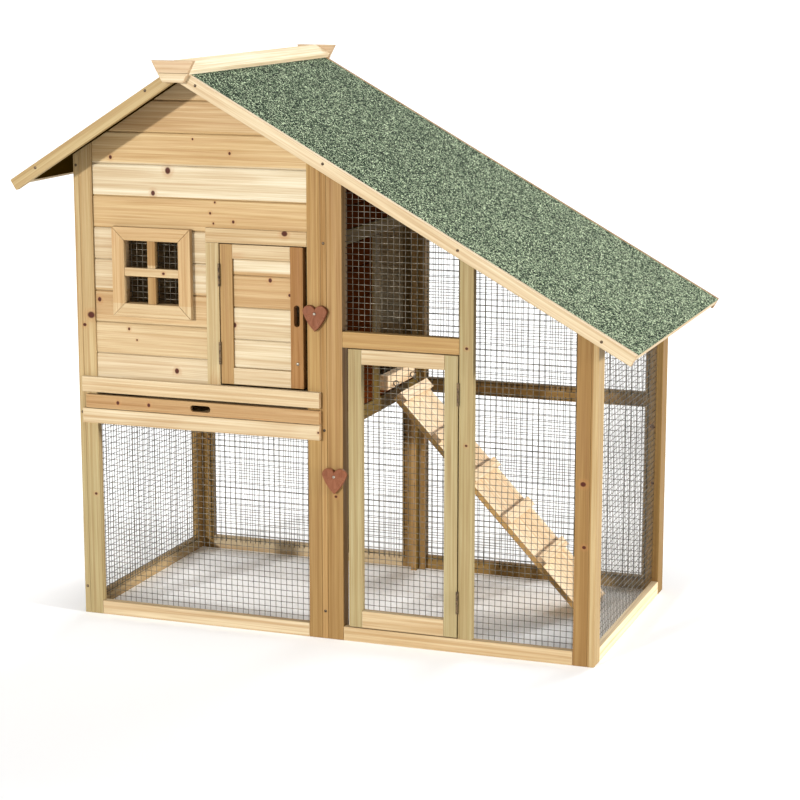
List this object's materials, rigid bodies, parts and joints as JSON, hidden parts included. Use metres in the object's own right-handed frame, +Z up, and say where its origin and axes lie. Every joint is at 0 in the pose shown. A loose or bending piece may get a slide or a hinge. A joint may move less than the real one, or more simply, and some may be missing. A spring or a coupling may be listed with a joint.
{
  "type": "rabbit hutch",
  "caption": "Timber rabbit hutch: a raised gabled house with window, door and pull-out tray, beside a wire-netted run with its own door and a ramp, under one long felted roof.",
  "frame": {"origin": "on the floor, under the middle of the bounding box", "axes": "+Z up, front towards -Y, run towards +X and house towards -X"},
  "size_m": [1.351, 0.784, 1.208],
  "materials": {
    "frame_fir": "planed fir, satin oil",
    "board_fir": "planed shiplap, satin oil",
    "shaded_fir": "planed boards, warm brown",
    "plywood": "sanded sheet",
    "stained_heart": "reddish brown stain, satin",
    "green_felt": "mineral-granule roofing felt",
    "galvanised_wire": "galvanised",
    "bronzed_hinge": "dark bronze",
    "zinc_steel": "zinc plated"
  },
  "bodies": {
    "hutch": {"corner_posts": "frame_fir", "door_surround": "frame_fir", "eave_fascias": "frame_fir", "end_panel_net": "galvanised_wire", "end_panel_rails": "frame_fir", "end_panel_stiles": "frame_fir", "floor_bearers": "frame_fir", "house_back_boards": "board_fir", "house_back_net": "galvanised_wire", "house_back_rails": "frame_fir", "house_floor": "plywood", "house_front_boards": "board_fir", "house_front_net": "galvanised_wire", "house_front_rails": "frame_fir", "house_hinge_fixed": "bronzed_hinge", "house_stiles": "frame_fir", "latch_screws": "zinc_steel", "left_wall_boards": "board_fir", "left_wall_net": "galvanised_wire", "left_wall_rails": "frame_fir", "left_wall_stiles": "frame_fir", "partition_boards": "shaded_fir", "partition_rails": "shaded_fir", "partition_stiles": "frame_fir", "ramp_batten": "frame_fir", "ramp_eyes": "zinc_steel", "ridge_cap_left": "frame_fir", "ridge_cap_right": "frame_fir", "ridge_end_trims": "frame_fir", "roof_deck_left": "plywood", "roof_deck_right": "plywood", "roof_felt_left": "green_felt", "roof_felt_right": "green_felt", "run_back_nets": "galvanised_wire", "run_front_nets": "galvanised_wire", "run_hinge_fixed": "bronzed_hinge", "run_rails": "frame_fir", "run_stiles": "frame_fir", "run_top_rails": "frame_fir", "verge_boards_left": "frame_fir", "verge_boards_right": "frame_fir", "window_frame": "frame_fir", "window_muntins": "frame_fir", "window_net": "galvanised_wire"},
    "house_door": {"house_door_stiles": "frame_fir", "house_door_rails": "frame_fir", "house_door_boards": "board_fir", "house_hinge_swinging": "bronzed_hinge"},
    "run_door": {"run_door_stiles": "frame_fir", "run_door_rails": "frame_fir", "run_door_net": "galvanised_wire", "run_hinge_swinging": "bronzed_hinge"},
    "house_latch": {"house_heart_latch": "stained_heart"},
    "run_latch": {"run_heart_latch": "stained_heart"},
    "tray": {"tray_front": "frame_fir", "tray_bottom": "plywood", "tray_walls": "frame_fir"},
    "ramp": {"ramp_plank": "frame_fir", "ramp_cleats": "frame_fir", "ramp_hooks": "zinc_steel"}
  },
  "joints": [
    {"name": "house_door_hinge", "type": "hinge", "parent": "hutch", "child": "house_door", "pos_m": [-0.2353, -0.303, 0.68], "axis": [0, 0, -1], "range_deg": [0, 110]},
    {"name": "run_door_hinge", "type": "hinge", "parent": "hutch", "child": "run_door", "pos_m": [0.289, -0.303, 0.327], "axis": [0, 0, 1], "range_deg": [0, 110]},
    {"name": "house_latch_turn", "type": "hinge", "parent": "hutch", "child": "house_latch", "pos_m": [-0.0195, -0.305, 0.694], "axis": [0, 1, 0], "continuous": true},
    {"name": "run_latch_turn", "type": "hinge", "parent": "hutch", "child": "run_latch", "pos_m": [0.021, -0.305, 0.354], "axis": [0, 1, 0], "continuous": true},
    {"name": "tray_slide", "type": "slide", "parent": "hutch", "child": "tray", "axis": [0, -1, 0], "range_m": [0, 0.45]},
    {"name": "ramp_hinge", "type": "hinge", "parent": "hutch", "child": "ramp", "pos_m": [0.03104, 0.105, 0.48385], "axis": [0, -1, 0], "range_deg": [0, 10]}
  ]
}
